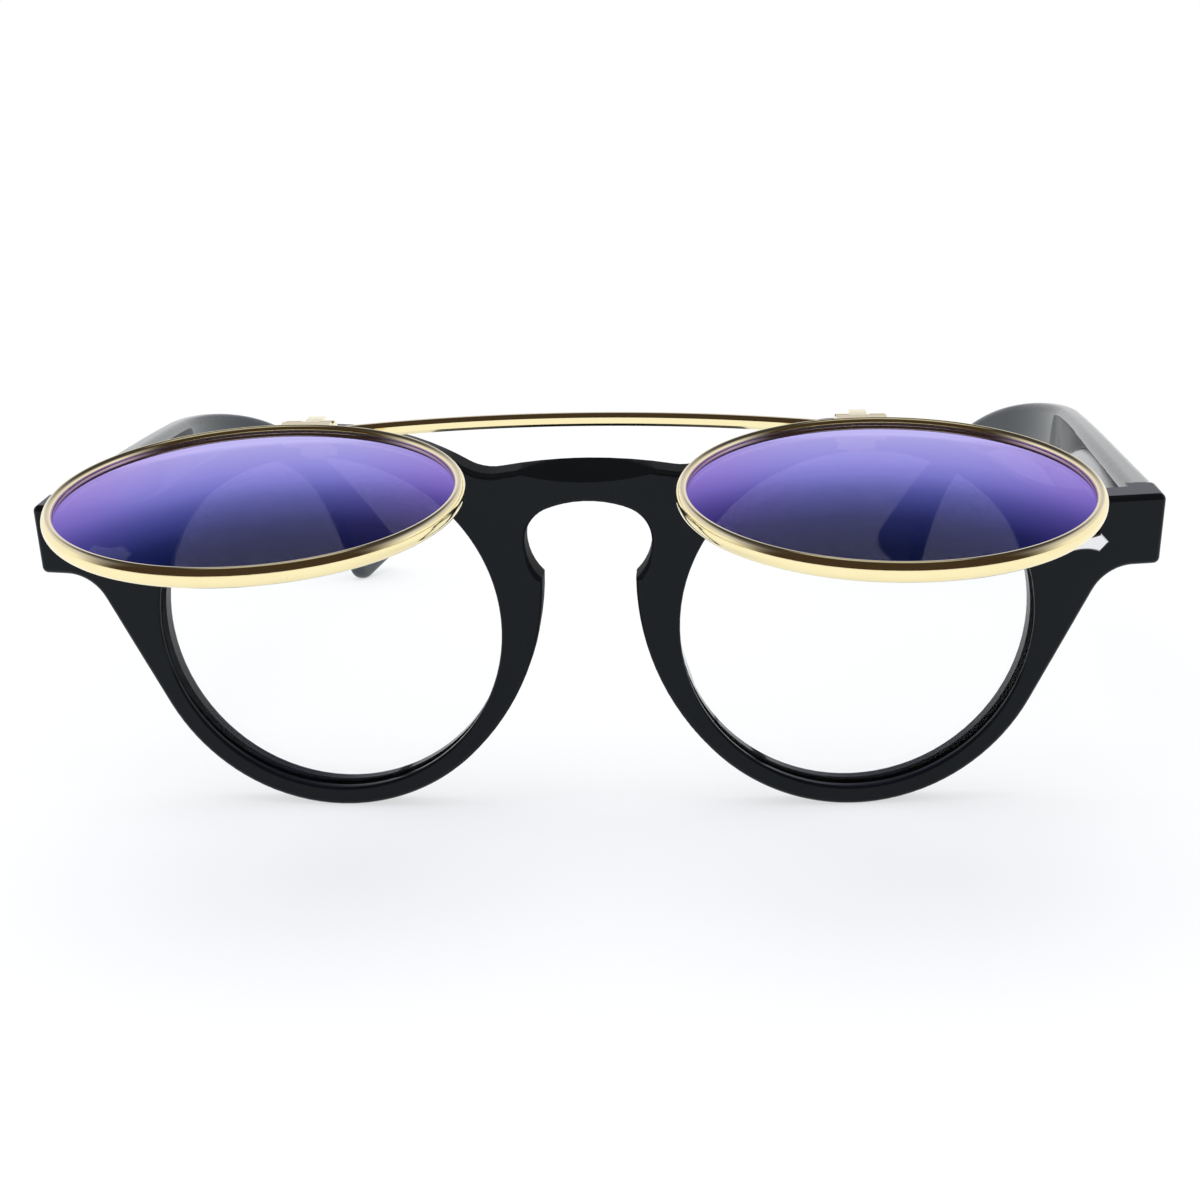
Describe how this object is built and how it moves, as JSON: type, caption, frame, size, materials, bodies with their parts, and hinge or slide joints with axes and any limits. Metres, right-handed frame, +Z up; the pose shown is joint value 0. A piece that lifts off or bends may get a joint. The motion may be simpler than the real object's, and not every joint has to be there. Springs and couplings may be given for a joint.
{
  "type": "flip-up sunglasses",
  "caption": "Round black plastic eyeglasses with a keyhole bridge, folding temples and a gold flip-up front of blue mirror sun lenses joined by an arched bar.",
  "frame": {"origin": "middle of the whole object's box at the height of the surface it stands on", "axes": "+X to the wearer's left, +Y from the lenses back to the ears, +Z up"},
  "size_m": [0.1518, 0.2056, 0.0513],
  "materials": {
    "black_plastic": "polished",
    "clear_lens": "clear",
    "blue_mirror": "blue mirror coating",
    "gold": "polished pale gold",
    "silver": "polished",
    "steel": "satin"
  },
  "bodies": {
    "front": {"frame_front": "black_plastic", "left_clear_lens": "clear_lens", "right_clear_lens": "clear_lens", "left_front_plaque": "silver", "right_front_plaque": "silver", "left_front_hinge_leaf": "steel", "right_front_hinge_leaf": "steel", "left_hinge_screw": "steel", "right_hinge_screw": "steel", "left_flip_bracket": "gold", "right_flip_bracket": "gold"},
    "left_temple": {"left_temple": "black_plastic", "left_temple_hinge_leaf": "steel", "left_temple_plaque": "silver"},
    "right_temple": {"right_temple": "black_plastic", "right_temple_hinge_leaf": "steel", "right_temple_plaque": "silver"},
    "flip_front": {"flip_bar": "gold", "left_flip_rim": "gold", "right_flip_rim": "gold", "left_mirror_lens": "blue_mirror", "right_mirror_lens": "blue_mirror", "left_flip_knuckle": "gold", "right_flip_knuckle": "gold", "left_flip_screw": "gold", "right_flip_screw": "gold"}
  },
  "joints": [
    {"name": "left_temple_fold", "type": "hinge", "parent": "front", "child": "left_temple", "pos_m": [0.0644, -0.04186, 0.0354], "axis": [0, 0, 1], "range_deg": [0, 86.5]},
    {"name": "right_temple_fold", "type": "hinge", "parent": "front", "child": "right_temple", "pos_m": [-0.0644, -0.04186, 0.0354], "axis": [0, 0, -1], "range_deg": [0, 68]},
    {"name": "flip", "type": "hinge", "parent": "front", "child": "flip_front", "pos_m": [0, -0.05683, 0.04916], "axis": [-1, 0, 0], "range_deg": [-89, 10]}
  ]
}
